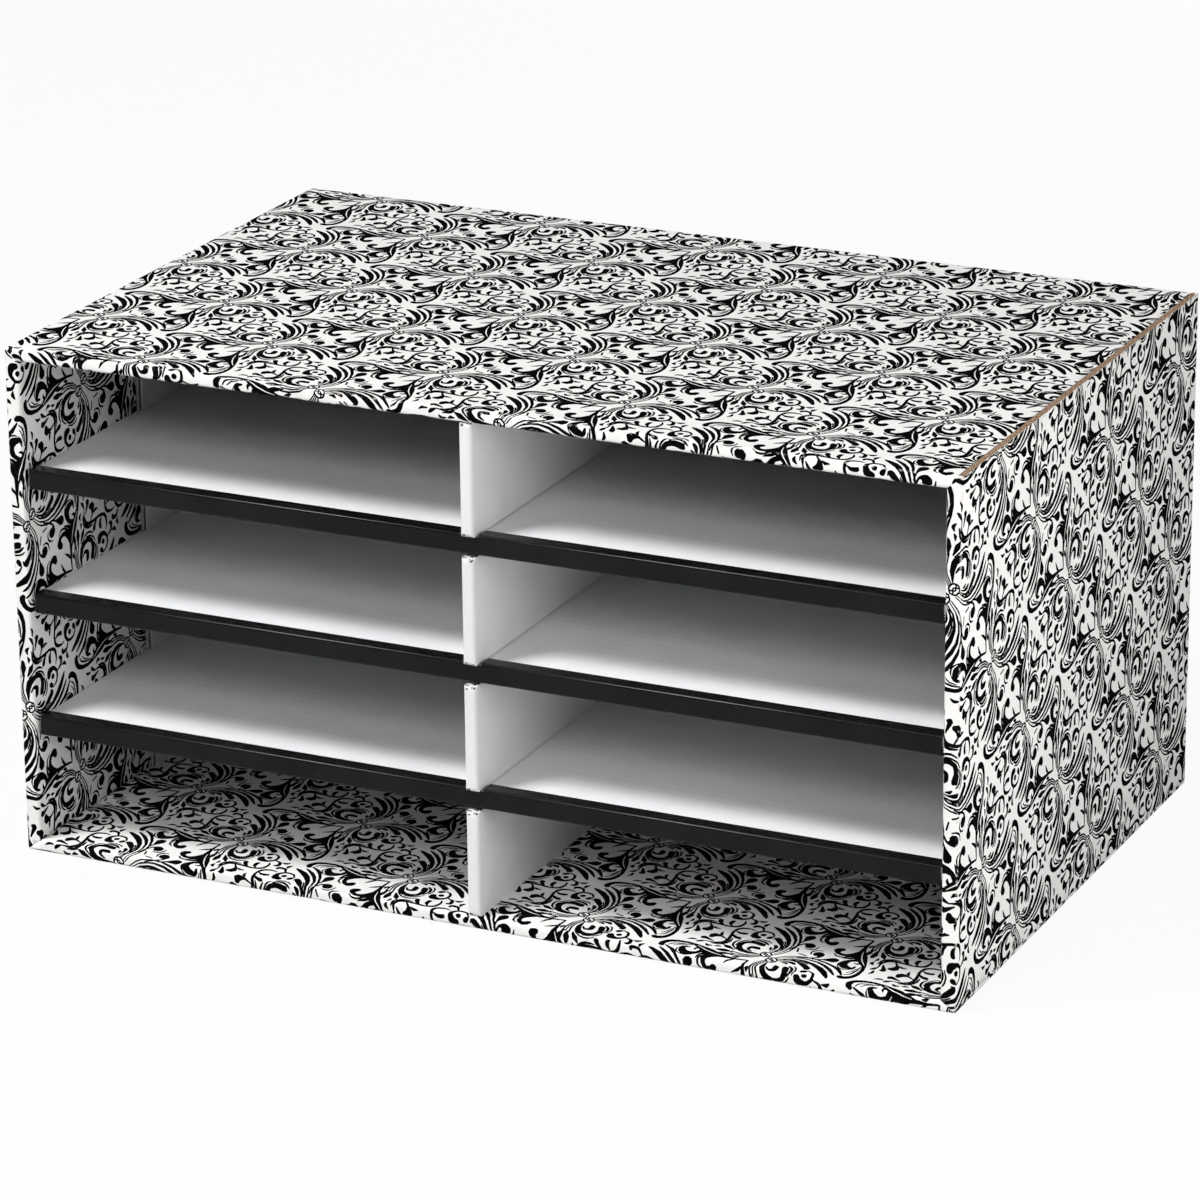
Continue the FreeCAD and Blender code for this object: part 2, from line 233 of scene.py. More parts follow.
def thinned(line, turn, reach):
    """The line's points that matter: where it has turned or run on far enough."""
    kept = [line[0]]
    heading = None
    for here, there in zip(line[1:], line[2:]):
        way = math.atan2(there[1] - here[1], there[0] - here[0])
        if heading is None:
            heading = way
        bend = abs((way - heading + math.pi) % (2 * math.pi) - math.pi)
        if bend > turn or math.dist(here[:2], kept[-1][:2]) > reach:
            kept.append(here)
            heading = way
    kept.append(line[-1])
    return kept


def stroke_outline(line):
    """Closed outline round a line with a width, its ends rounded."""
    left, right, tips = [], [], []
    for index, (x, y, width) in enumerate(line):
        ahead = line[min(index + 1, len(line) - 1)]
        behind = line[max(index - 1, 0)]
        way = Vector((ahead[0] - behind[0], ahead[1] - behind[1])).normalized() * width / 2
        left.append((x - way.y, y + way.x))
        right.append((x + way.y, y - way.x))
        if index in (0, len(line) - 1):
            end = 1 if index else -1
            turns = (45, 90, 135) if width > 1.0 else (90,)
            tips.append([(x - way.y * math.cos(math.radians(turn))
                          + end * way.x * math.sin(math.radians(turn)),
                          y + way.x * math.cos(math.radians(turn))
                          + end * way.y * math.sin(math.radians(turn))) for turn in turns])
    return left + tips[1] + right[::-1] + tips[0][::-1]


def in_stroke(points, line):
    """Which of the points lie within a stroke."""
    found = np.zeros(len(points), bool)
    for start, end in zip(line, line[1:]):
        start, end = np.array(start), np.array(end)
        run = end[:2] - start[:2]
        share = ((points - start[:2]) @ run / max(run @ run, 1e-12)).clip(0, 1)
        gap = np.hypot(*(points - start[:2] - share[:, None] * run).T)
        found |= gap < (start[2] + (end[2] - start[2]) * share) / 2
    return found


def ornament_tile(settings):
    """One repeat of the ornament: (points, triangles, which triangles are ink), in metres."""
    along, across = settings.repeat_along / MM, settings.repeat_across / MM
    strokes = []
    for kind, points in SPRAY:
        spread = settings.ink_spread / MM if kind == "ink" else 0
        full = curve([(x, y, w * settings.stroke_gain + spread) for x, y, w in points],
                     CURVE_STEPS)
        line = thinned(full, STROKE_TURN, STROKE_REACH)
        for mirror in (1, -1):
            slip = MIRROR_SLIP if mirror < 0 else 0
            strokes.append((kind, [(x + slip, mirror * y, w) for x, y, w in line]))
    points, edges = [], []
    for _, line in strokes:
        outline = stroke_outline(line)
        for column, row in NEIGHBOURS:
            first = len(points)
            points += [Vector((x + column * along, y + row * across)) for x, y in outline]
            edges += [(first + k, first + (k + 1) % len(outline))
                      for k in range(len(outline))]
    flat, _, faces, *_ = delaunay_2d_cdt(points, edges, [], 0, STROKE_JOIN)
    flat = np.array([tuple(p) for p in flat])
    faces = np.array([f for f in faces if len(f) == 3])
    centres = flat[faces].mean(axis=1)
    low = np.array((TILE_START[0] * along, TILE_START[1] * across))
    inside = ((centres >= low) & (centres < low + (along, across))).all(axis=1)
    faces, centres = faces[inside], centres[inside]
    inked = np.zeros(len(faces), bool)
    for kind, line in strokes:
        for column, row in NEIGHBOURS:
            shifted = [(x + column * along, y + row * across, w) for x, y, w in line]
            inked[in_stroke(centres, shifted)] = kind == "ink"
    used, compact = np.unique(faces, return_inverse=True)
    return flat[used] * MM, compact.reshape(faces.shape), inked


class Region:
    """Flat part of a sheet: where its (s, t) coordinates lie in space, and its outlines."""

    def __init__(self, origin, s, t, *outlines):
        self.origin, self.s, self.t = Vector(origin), Vector(s), Vector(t)
        self.normal = self.s.cross(self.t)
        self.outlines = outlines

    def place(self, s, t):
        """The point of space at (s, t)."""
        return self.origin + self.s * s + self.t * t

    def folded(self, axis, at, way, *outlines):
        """Its neighbour across a right-angled fold at s or t, on the way up or down that axis."""
        along = getattr(self, axis)
        turned = -way * self.normal
        origin = self.origin + at * along - at * turned
        if axis == "s":
            return Region(origin, turned, self.t, *outlines)
        return Region(origin, self.s, turned, *outlines)


def rectangle(s_ends, t_ends):
    """Outline between two ends along s and two along t, in order round it."""
    (s0, s1), (t0, t1) = sorted(s_ends), sorted(t_ends)
    return [(s0, t0), (s1, t0), (s1, t1), (s0, t1)]


def print_on(region, outline, tile, settings, layout):
    """Triangles of the tiled ornament over an outline: (points in space, faces, inked)."""
    knot_s, knot_t, turn = layout
    points, faces, inked = tile
    spin = np.array(((math.cos(turn), math.sin(turn)), (-math.sin(turn), math.cos(turn))))
    corners = (np.array(outline) - (knot_s, knot_t)) @ spin.T
    step = np.array((settings.repeat_along, settings.repeat_across))
    first = np.floor((corners.min(axis=0) / step) - TILE_MARGIN).astype(int)
    last = np.ceil((corners.max(axis=0) / step) + TILE_MARGIN).astype(int)
    low, high = np.array(outline).min(axis=0), np.array(outline).max(axis=0)
    all_points, all_faces, all_inked, count = [], [], [], 0
    for column in range(first[0], last[0] + 1):
        for row in range(first[1], last[1] + 1):
            placed = (points + step * (column, row)) @ spin + (knot_s, knot_t)
            corner = placed[faces]
            kept = ((corner.max(axis=1) > low) & (corner.min(axis=1) < high)).all(axis=1)
            if kept.any():
                all_points.append(placed)
                all_faces.append(faces[kept] + count)
                all_inked.append(inked[kept])
                count += len(placed)
    flat, faces = np.concatenate(all_points), np.concatenate(all_faces)
    used, faces = np.unique(faces, return_inverse=True)
    flat = flat[used]
    space = np.array(region.origin) + flat[:, :1] * region.s + flat[:, 1:] * region.t
    return space, faces.reshape(-1, 3), np.concatenate(all_inked)


def mesh_from_arrays(name, points, faces, slots):
    """Triangle mesh from arrays, with a material slot for each face."""
    mesh = bpy.data.meshes.new(name)
    mesh.vertices.add(len(points))
    mesh.vertices.foreach_set("co", np.asarray(points, np.float32).ravel())
    mesh.loops.add(faces.size)
    mesh.loops.foreach_set("vertex_index", faces.astype(np.int32).ravel())
    mesh.polygons.add(len(faces))
    mesh.polygons.foreach_set("loop_start", np.arange(0, faces.size, 3, dtype=np.int32))
    mesh.polygons.foreach_set("material_index", np.asarray(slots, np.int32))
    mesh.update(calc_edges=True)
    return mesh


def cut(bm, place, normal, drop_outside):
    """Cuts a mesh along a plane and, if asked, drops what lies on the normal's side."""
    bmesh.ops.bisect_plane(bm, geom=bm.verts[:] + bm.edges[:] + bm.faces[:], dist=SLIVER,
                           plane_co=place, plane_no=normal, clear_outer=drop_outside)


def add_region(bm, region, tile, settings, layout):
    """Adds a region's outer face to a sheet, printed if it has a layout."""
    for outline in region.outlines:
        part = bmesh.new()
        if layout:
            points, faces, inked = print_on(region, outline, tile, settings, layout)
            mesh = mesh_from_arrays("part", points, faces, np.where(inked, 1, 0))
            part.from_mesh(mesh)
            bpy.data.meshes.remove(mesh)
            bmesh.ops.remove_doubles(part, verts=part.verts, dist=WELD)
            for here, there in zip(outline, outline[1:] + outline[:1]):
                run_s, run_t = there[0] - here[0], there[1] - here[1]
                cut(part, region.place(*here), region.s * run_t - region.t * run_s, True)
        else:
            part.faces.new([part.verts.new(region.place(*corner)) for corner in outline])
        mesh = bpy.data.meshes.new("part")
        part.to_mesh(mesh)
        part.free()
        bm.from_mesh(mesh)
        bpy.data.meshes.remove(mesh)


def border_ring(region, outline, verts):
    """The verts that lie on the border of a convex outline, in order round it."""
    middle = Vector((sum(s for s, _ in outline), sum(t for _, t in outline))) / len(outline)
    found = []
    for vert in verts:
        away = vert.co - region.origin
        if abs(away.dot(region.normal)) > WELD:
            continue
        place = Vector((away.dot(region.s), away.dot(region.t)))
        for here, there in zip(outline, outline[1:] + outline[:1]):
            start, run = Vector(here), Vector(there) - Vector(here)
            share = min(max((place - start).dot(run) / run.length_squared, 0), 1)
            if (place - start - run * share).length < 1.5 * WELD:
                turn = math.atan2(place.y - middle.y, place.x - middle.x)
                found.append((turn, vert.index, vert))
                break
    return [vert for _, _, vert in sorted(found)]


def sheet_mesh(name, regions, planes, tile, settings, layout, thickness):
    """Closed thin sheet over folded regions, rounded where it meets the planes.

    planes lists (outward normal, distance) of the faces that its folds join. Slot 0 is paper,
    1 ink and 2 the cut edge and inner side.
    """
    radius = settings.fold_radius
    bm = bmesh.new()
    for region in regions:
        add_region(bm, region, tile, settings, layout)
    for normal, offset in planes:
        for step in range(1, settings.fold_steps + 1):
            cut(bm, normal * (offset - radius * step / settings.fold_steps), normal, False)
    bmesh.ops.remove_doubles(bm, verts=bm.verts, dist=WELD)
    bmesh.ops.dissolve_degenerate(bm, edges=bm.edges, dist=SLIVER)
    bm.normal_update()

    def centre_and_way(point):
        pull = Vector()
        for normal, offset in planes:
            inside = offset - normal.dot(point)
            if inside < radius:
                pull += normal * (radius - inside)
        return point - pull, pull.normalized()

    outer_faces = bm.faces[:]
    outer_verts = bm.verts[:]
    corners = [region.place(*corner) for region in regions
               for outline in region.outlines for corner in outline]
    rims = [vert for vert in outer_verts if vert.is_boundary
            or any((vert.co - corner).length_squared < 1e-11 for corner in corners)]
    inner = {}
    for vert in rims:
        centre, way = centre_and_way(vert.co)
        inner[vert] = bm.verts.new(centre + way * (radius - thickness))
    border = [(loop.vert, loop.link_loop_next.vert) for face in outer_faces
              for loop in face.loops if loop.edge.is_boundary]
    bm.verts.index_update()
    rings = [border_ring(region, outline, rims)
             for region in regions for outline in region.outlines]
    for here, there in border:
        bm.faces.new((there, here, inner[here], inner[there])).material_index = 2
    for ring in rings:
        bm.faces.new([inner[vert] for vert in reversed(ring)]).material_index = 2
    for vert in outer_verts:
        centre, way = centre_and_way(vert.co)
        vert.co = centre + way * radius
    for vert in bm.verts:
        vert.co = [min(max(value, low), high) for value, low, high in zip(vert.co, LOW, HIGH)]
    mesh = bpy.data.meshes.new(name)
    bm.to_mesh(mesh)
    bm.free()
    return mesh


def add_slab(bm, low, high, slot):
    """Closed box between two corners."""
    low, high = Vector(low), Vector(high)
    size = high - low
    matrix = Matrix.Translation((low + high) / 2) @ Matrix.Diagonal((*size, 1))
    made = bmesh.ops.create_cube(bm, size=1, matrix=matrix)
    for face in {face for vert in made["verts"] for face in vert.link_faces}:
        face.material_index = slot


def wall_piece(name, node, sheet, slabs, materials):
    """Joins a printed sheet and the board behind it into one piece of the case."""
    bm = bmesh.new()
    bm.from_mesh(sheet)
    bpy.data.meshes.remove(sheet)
    for low, high, slot in slabs:
        add_slab(bm, low, high, slot)
    return finished_piece(name, bm, node, "case", materials)


def case_walls(settings):
    """Sheets of the case: name, node, regions, planes of their folds, ornament layout."""
    ply = CASE_PLY
    cover, floor = TOP - CEILING, FLOOR
    side_inner = HALF_WIDTH - SIDE
    left_face, right_face = (-ACROSS, HALF_WIDTH), (ACROSS, HALF_WIDTH)
    front_face, back_face = (-AHEAD, -FRONT), (AHEAD, BACK)
    top_face, bottom_face = (UP, TOP), (-UP, 0)
    diagonal = math.radians(45)
    top_knot = (-51 * MM, 86 * MM, diagonal)
    side_knot = (25 * MM, 124 * MM, -diagonal)
    left_knot = (168 * MM, 173.4 * MM, -diagonal)

    raw_line = HALF_WIDTH - ply - settings.raw_gap
    top = Region((0, 0, TOP), ACROSS, AHEAD,
                 rectangle((-HALF_WIDTH, raw_line), (FRONT, BACK)),
                 rectangle((raw_line, HALF_WIDTH), (FRONT, FRONT + ply)))
    top_rim = top.folded("t", FRONT, -1,
                         [(-side_inner, FRONT - cover), (side_inner, FRONT - cover),
                          (HALF_WIDTH, FRONT), (-HALF_WIDTH, FRONT)])
    top_left = top.folded("s", -HALF_WIDTH, -1,
                          rectangle((-HALF_WIDTH - ply, -HALF_WIDTH), (FRONT, BACK)))
    top_back = top.folded("t", BACK, 1, rectangle((-HALF_WIDTH, raw_line), (BACK, BACK + ply)))
    ceiling = top_rim.folded("t", FRONT - cover, -1,
                             rectangle((-side_inner, side_inner),
                                       (2 * FRONT - cover - COVER_FLAP_END, FRONT - cover)))
    bottom = Region((0, 0, 0), ACROSS, -AHEAD,
                    rectangle((-HALF_WIDTH, HALF_WIDTH), (-BACK, -FRONT)))
    bottom_rim = bottom.folded("t", -FRONT, 1,
                               [(-HALF_WIDTH, -FRONT), (HALF_WIDTH, -FRONT),
                                (side_inner, floor - FRONT), (-side_inner, floor - FRONT)])
    bottom_left = bottom.folded("s", -HALF_WIDTH, -1,
                                rectangle((-HALF_WIDTH - ply, -HALF_WIDTH), (-BACK, -FRONT)))
    bottom_right = bottom.folded("s", HALF_WIDTH, 1,
                                 rectangle((HALF_WIDTH, HALF_WIDTH + ply), (-BACK, -FRONT)))
    floor_flap = bottom_rim.folded("t", floor - FRONT, 1,
                                   rectangle((-side_inner, side_inner),
                                             (floor - FRONT, floor - 2 * FRONT + COVER_FLAP_END)))
    right = Region((HALF_WIDTH, 0, 0), AHEAD, UP, rectangle((FRONT, BACK), (ply, TOP)))
    right_rim = right.folded("s", FRONT, -1, [(FRONT, 0), (FRONT, TOP),
                                              (FRONT - SIDE, CEILING), (FRONT - SIDE, FLOOR)])
    flap_length = SIDE_FLAP_END - FRONT - FLAP_GAP
    right_flap = right_rim.folded("s", FRONT - SIDE, -1,
                                  rectangle((FRONT - SIDE - flap_length, FRONT - SIDE),
                                            (FLOOR, CEILING)))
    left = Region((-HALF_WIDTH, 0, 0), -AHEAD, UP, rectangle((-BACK, -FRONT), (ply, TOP - ply)))
    left_rim = left.folded("s", -FRONT, 1, [(-FRONT, 0), (SIDE - FRONT, FLOOR),
                                            (SIDE - FRONT, CEILING), (-FRONT, TOP)])
    left_flap = left_rim.folded("s", SIDE - FRONT, 1,
                                rectangle((SIDE - FRONT, SIDE - FRONT + flap_length),
                                          (FLOOR, CEILING)))
    back = Region((0, BACK, 0), -ACROSS, UP,
                  rectangle((-BACK_HALF, BACK_HALF), (BACK_FOOT, TOP - ply)))

    top_planes = [top_face, front_face, (-UP, -CEILING), left_face, back_face]
    bottom_planes = [bottom_face, front_face, (UP, FLOOR), left_face, right_face]
    right_planes = [right_face, front_face, (-ACROSS, -side_inner), bottom_face]
    left_planes = [left_face, front_face, (ACROSS, -side_inner), top_face, bottom_face]
    return [
        ("top_wall", "case_top", [top, top_rim, top_left, top_back], top_planes, top_knot),
        ("top_flap", "case_top", [ceiling], top_planes, top_knot),
        ("bottom_wall", "case_bottom", [bottom, bottom_rim, bottom_left, bottom_right],
         bottom_planes, (12 * MM, 40 * MM, diagonal)),
        ("bottom_flap", "case_bottom", [floor_flap], bottom_planes,
         (12 * MM, 40 * MM, diagonal)),
        ("right_wall", "case_right", [right, right_rim], right_planes, side_knot),
        ("right_flap", "case_right", [right_flap], right_planes, side_knot),
        ("left_wall", "case_left", [left, left_rim], left_planes, left_knot),
        ("left_flap", "case_left", [left_flap], left_planes, left_knot),
        ("back_wall", "case_back", [back], [back_face], (5 * MM, 131 * MM, diagonal)),
    ]


def board_slabs(settings):
    """Board behind each printed sheet: (low corner, high corner, slot) by the sheet's name."""
    ply, paper, sunk = CASE_PLY, settings.liner_paper, settings.core_depth
    inset = settings.fold_radius + 0.1 * MM
    side_inner = HALF_WIDTH - SIDE
    raw_line = HALF_WIDTH - ply - settings.raw_gap
    flap_end = SIDE_FLAP_END - FLAP_GAP
    # Slot 3 is the sunk core of a cut edge, in kraft darkened as painted shade.
    slabs = {
        "top_wall": [
            ((-HALF_WIDTH + ply, FRONT + ply, TOP - ply), (raw_line, BACK - ply, TOP - paper), 2),
            ((-side_inner, FRONT + paper, CEILING + inset),
             (side_inner, FRONT + ply, TOP - inset), 2)],
        "top_flap": [
            ((-side_inner, FRONT + inset, CEILING + paper),
             (side_inner, COVER_FLAP_END, CEILING + ply), 2)],
        "bottom_wall": [
            ((-HALF_WIDTH + ply, FRONT + ply, ply - paper), (HALF_WIDTH - ply, BACK, ply), 2),
            ((-HALF_WIDTH + ply, FRONT + ply, paper),
             (HALF_WIDTH - ply, BACK - sunk, ply - paper), 3),
            ((-side_inner, FRONT + paper, inset), (side_inner, FRONT + ply, FLOOR - inset), 2)],
        "bottom_flap": [
            ((-side_inner, FRONT + inset, FLOOR - ply),
             (side_inner, COVER_FLAP_END, FLOOR - paper), 2)],
        "back_wall": [
            ((-BACK_HALF, BACK - ply, BACK_FOOT), (BACK_HALF, BACK - paper, TOP - ply), 2)],
    }
    for name, side in SIDES.items():
        outer, inner = side * HALF_WIDTH, side * side_inner
        head = TOP if side > 0 else TOP - ply

        def slab(x_ends, y_ends, z_ends, slot):
            lows, highs = zip(*(sorted(ends) for ends in (x_ends, y_ends, z_ends)))
            return lows, highs, slot

        slabs[name + "_wall"] = [
            slab((outer - side * ply, outer - side * (ply - paper)), (FRONT + ply, BACK),
                 (ply, head), 2),
            slab((outer - side * paper, outer - side * (ply - paper)),
                 (FRONT + ply, BACK - sunk), (ply, head - (sunk if side > 0 else 0)), 3),
            slab((outer - side * inset, inner + side * inset), (FRONT + paper, FRONT + ply),
                 (inset, TOP - inset), 2)]
        slabs[name + "_flap"] = [
            slab((inner + side * paper, inner + side * ply), (FRONT + inset, flap_end),
                 (FLOOR, CEILING), 2)]
    return slabs


def add_node(tree, kind, inputs=(), **settings):
    """Adds a node to a tree and feeds its inputs with values or with other nodes' sockets."""
    node = tree.nodes.new(kind)
    for name, value in settings.items():
        setattr(node, name, value)
    for key, value in dict(inputs).items():
        if isinstance(value, bpy.types.NodeSocket):
            tree.links.new(value, node.inputs[key])
        else:
            node.inputs[key].default_value = value
    return node


def flute_tree():
    """Geometry nodes of one strip of fluted paper, running along X with its waves along Z."""
    tree = bpy.data.node_groups.new("Fluted paper", "GeometryNodeTree")
    face = tree.interface
    face.new_socket("Geometry", in_out="OUTPUT", socket_type="NodeSocketGeometry")
    for label, value in (("Length", 0.3), ("Pitch", 6.5 * MM), ("Height", 1.5 * MM),
                         ("Depth", 0.7 * MM), ("Paper", 0.3 * MM)):
        face.new_socket(label, in_out="INPUT", socket_type="NodeSocketFloat").default_value = value
    face.new_socket("Material", in_out="INPUT", socket_type="NodeSocketMaterial")
    given = add_node(tree, "NodeGroupInput").outputs

    def number(operation, *values):
        node = add_node(tree, "ShaderNodeMath", enumerate(values), operation=operation)
        return node.outputs[0]

    def step(kind, inputs, **settings):
        return add_node(tree, kind, inputs, **settings).outputs[0]

    end = step("ShaderNodeCombineXYZ", {"X": given["Length"]})
    line = step("GeometryNodeCurvePrimitiveLine", {"End": end})
    waves = number("DIVIDE", given["Length"], given["Pitch"])
    count = number("MULTIPLY_ADD", waves, FLUTE_POINTS, 1)
    line = step("GeometryNodeResampleCurve", {"Curve": line, "Count": count})
    place = step("GeometryNodeInputPosition", {})
    turn = number("DIVIDE", number("MULTIPLY", step("ShaderNodeSeparateXYZ", {0: place}),
                                   2 * math.pi), given["Pitch"])
    reach = number("MULTIPLY", number("SUBTRACT", given["Height"], given["Paper"]), 0.5)
    rise = number("MULTIPLY", number("SINE", turn), reach)
    shift = step("ShaderNodeCombineXYZ", {"Z": rise})
    line = step("GeometryNodeSetPosition", {"Geometry": line, "Offset": shift})
    line = step("GeometryNodeSetCurveNormal", {"Curve": line}, mode="Z_UP")
    section = step("GeometryNodeCurvePrimitiveQuadrilateral",
                   {"Width": given["Depth"], "Height": given["Paper"]})
    strip = step("GeometryNodeCurveToMesh",
                 {"Curve": line, "Profile Curve": section, "Fill Caps": True})
    strip = step("GeometryNodeRealizeInstances", {0: strip})
    strip = step("GeometryNodeSetMaterial", {"Geometry": strip, "Material": given["Material"]})
    add_node(tree, "NodeGroupOutput", {0: strip})
    return tree


def fluted_strip(tree, name, length, sizes, material, matrix):
    """Object with a strip of fluted paper, set in place in its mesh."""
    holder = bpy.data.objects.new(name, bpy.data.meshes.new(name))
    bpy.context.scene.collection.objects.link(holder)
    modifier = holder.modifiers.new("Flutes", "NODES")
    modifier.node_group = tree
    values = {"Length": length, "Material": material, **sizes}
    for item in tree.interface.items_tree:
        if item.in_out == "INPUT" and item.name in values:
            modifier[item.identifier] = values[item.name]
    graph = bpy.context.evaluated_depsgraph_get()
    mesh = bpy.data.meshes.new_from_object(holder.evaluated_get(graph))
    holder.modifiers.clear()
    mesh.transform(matrix)
    if matrix.is_negative:
        mesh.flip_normals()
    holder.data = mesh
    mesh.name = name
    return holder


def merged_copy(node):
    """Bmesh of a packed solid with its loose triangles merged to whole faces."""
    bm = bmesh.new()
    bm.from_mesh(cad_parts[node].data)
    bmesh.ops.remove_doubles(bm, verts=bm.verts, dist=1e-6)
    bmesh.ops.dissolve_limit(bm, angle_limit=math.radians(0.4), verts=bm.verts, edges=bm.edges)
    return bm


def soften_edges(bm, width, segments, sharper_than=35, ahead_of=None):
    """Rounds the edges that are sharper than an angle in degrees, if need be ahead of a Y."""
    limit = math.radians(sharper_than)
    edges = [edge for edge in bm.edges
             if edge.is_manifold and edge.calc_face_angle(0) > limit
             and (ahead_of is None or max(vert.co.y for vert in edge.verts) < ahead_of)]
    bmesh.ops.bevel(bm, geom=edges, offset=width, offset_type="OFFSET", segments=segments,
                    profile=0.5, affect="EDGES", clamp_overlap=True)


def mark_cut_edges(bm, is_cut, across, plies):
    """Gives the cut faces slot 1 and a map of (mm along Y, share of the ply's thickness)."""
    layer = bm.loops.layers.uv.new("CutEdge")
    for face in bm.faces:
        if is_cut(face):
            face.material_index = 1
            middle = face.calc_center_median()[across]
            low, high = min(plies, key=lambda ends: abs(sum(ends) / 2 - middle))
            for loop in face.loops:
                place = loop.vert.co
                loop[layer].uv = (place.y / MM, (place[across] - low) / (high - low))


def finished_piece(name, bm, node, body, materials):
    """Links a bmesh as a piece that rides on a body and stands for a packed solid."""
    mesh = bpy.data.meshes.new(name)
    bm.to_mesh(mesh)
    bm.free()
    for material in materials:
        mesh.materials.append(material)
    piece = bpy.data.objects.new(name, mesh)
    bpy.context.scene.collection.objects.link(piece)
    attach(piece, body)
    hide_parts(node)
    return piece


def foot_outline(divider, radius):
    """Side view of the divider as (y, z) points: its teeth with rounded front corners."""
    near, behind_fold = FRONT + 2 * MM, FRONT + 4 * MM
    heights = sorted({round(vert.co.z, 6) for vert in divider.verts if vert.co.y < near})
    mouth = min(vert.co.y for vert in divider.verts if vert.co.y > behind_fold)
    rear = max(vert.co.y for vert in divider.verts)
    outline = [(rear + MM, heights[0] - MM), (FRONT + radius, heights[0] - MM)]
    for low, high in zip(heights[::2], heights[1::2]):
        for start, way, turns in ((low, -1, range(90, -1, -15)), (high, 1, range(0, 91, 15))):
            for angle in map(math.radians, turns):
                outline.append((FRONT + radius - radius * math.cos(angle),
                                start - way * radius + way * radius * math.sin(angle)))
        if high < heights[-1]:
            after = heights[heights.index(high) + 1]
            outline += [(mouth + MM, high), (mouth + MM, after)]
    outline += [(FRONT + radius, heights[-1] + MM), (rear + MM, heights[-1] + MM)]
    return outline


def intersected(first, second):
    """What two closed bmeshes share, as a new bmesh."""
    holders = []
    for bm in (first, second):
        mesh = bpy.data.meshes.new("part")
        bm.to_mesh(mesh)
        bm.free()
        holder = bpy.data.objects.new("part", mesh)
        bpy.context.scene.collection.objects.link(holder)
        holders.append(holder)
    modifier = holders[0].modifiers.new("Shared", "BOOLEAN")
    modifier.operation, modifier.solver = "INTERSECT", "EXACT"
    modifier.object = holders[1]
    graph = bpy.context.evaluated_depsgraph_get()
    result = bmesh.new()
    result.from_mesh(holders[0].evaluated_get(graph).data)
    for holder in holders:
        mesh = holder.data
        bpy.data.objects.remove(holder)
        bpy.data.meshes.remove(mesh)
    return result


class Shading:
    """Short way to build one Principled material and the nodes that feed it."""

    def __init__(self, name, roughness, shine=0.2):
        self.material = bpy.data.materials.new(name)
        self.material.use_nodes = True
        self.tree = self.material.node_tree
        self.surface = self.tree.nodes["Principled BSDF"]
        self.surface.inputs["Roughness"].default_value = roughness
        self.surface.inputs["Specular IOR Level"].default_value = shine
        self.place = self.add("ShaderNodeTexCoord").outputs["Object"]

    def add(self, kind, inputs=(), **settings):
        """A new node in this material."""
        return add_node(self.tree, kind, inputs, **settings)

    def stretched(self, scale):
        """The object's coordinates, scaled along each axis."""
        return self.add("ShaderNodeMapping", {"Vector": self.place, "Scale": scale}).outputs[0]

    def noise(self, scale, detail=3.0, rough=0.5, place=None):
        """Cloudy noise with about so many patches to a metre, octaves and roughness."""
        return self.add("ShaderNodeTexNoise", {
            "Vector": place or self.place, "Scale": scale, "Detail": detail,
            "Roughness": rough}).outputs["Fac"]

    def math(self, operation, *values):
        """Sum or function of sockets and numbers."""
        return self.add("ShaderNodeMath", enumerate(values), operation=operation).outputs[0]

    def ramp(self, factor, low, high, to_low=0.0, to_high=1.0):
        """Smooth step of a factor from one range to another."""
        return self.add("ShaderNodeMapRange", {
            "Value": factor, "From Min": low, "From Max": high, "To Min": to_low,
            "To Max": to_high}, interpolation_type="SMOOTHSTEP").outputs[0]

    def mix(self, factor, *colours):
        """Blend of two colours, each a socket or three numbers."""
        node = self.add("ShaderNodeMix", {0: factor}, data_type="RGBA")
        sockets = [socket for socket in node.inputs if socket.type == "RGBA"]
        for socket, colour in zip(sockets, colours):
            if isinstance(colour, bpy.types.NodeSocket):
                self.tree.links.new(colour, socket)
            else:
                socket.default_value = (*colour[:3], 1.0)
        return next(socket for socket in node.outputs if socket.type == "RGBA")

    def axis(self, name):
        """One of the object's coordinates."""
        return self.add("ShaderNodeSeparateXYZ", {0: self.place}).outputs[name]

    def bump(self, *layers):
        """Stacks (height, depth in metres) layers into the surface's normal."""
        below = {}
        for height, depth in layers:
            node = self.add("ShaderNodeBump", {"Strength": 1.0, "Distance": depth,
                                               "Height": height, **below})
            below = {"Normal": node.outputs[0]}
        self.tree.links.new(below["Normal"], self.surface.inputs["Normal"])

    def paint(self, colour, roughness=None):
        """Feeds the surface's colour and, if given, its roughness."""
        self.tree.links.new(colour, self.surface.inputs["Base Color"])
        if roughness is not None:
            self.tree.links.new(roughness, self.surface.inputs["Roughness"])


def near_case_edge(shading, width):
    """1 on the outer edges of the case and 0 further than a width from them."""
    gaps = []
    for name, centre, half in (("X", 0, HALF_WIDTH), ("Y", 0, BACK), ("Z", TOP / 2, TOP / 2)):
        away = shading.math("ABSOLUTE", shading.math("SUBTRACT", shading.axis(name), centre))
        gaps.append(shading.math("SUBTRACT", half, away))
    x, y, z = gaps
    nearer = shading.math("MINIMUM", x, y)
    further = shading.math("MAXIMUM", x, y)
    second = shading.math("MAXIMUM", nearer, shading.math("MINIMUM", further, z))
    return shading.ramp(second, 0.0, width, 1.0, 0.0)


def flute_ripple(shading, axis, pitch):
    """Faint washboard of the flutes under the facing paper."""
    turn = shading.math("MULTIPLY", shading.axis(axis), 2 * math.pi / pitch)
    return shading.math("MULTIPLY_ADD", shading.math("SINE", turn), 0.5, 0.5)


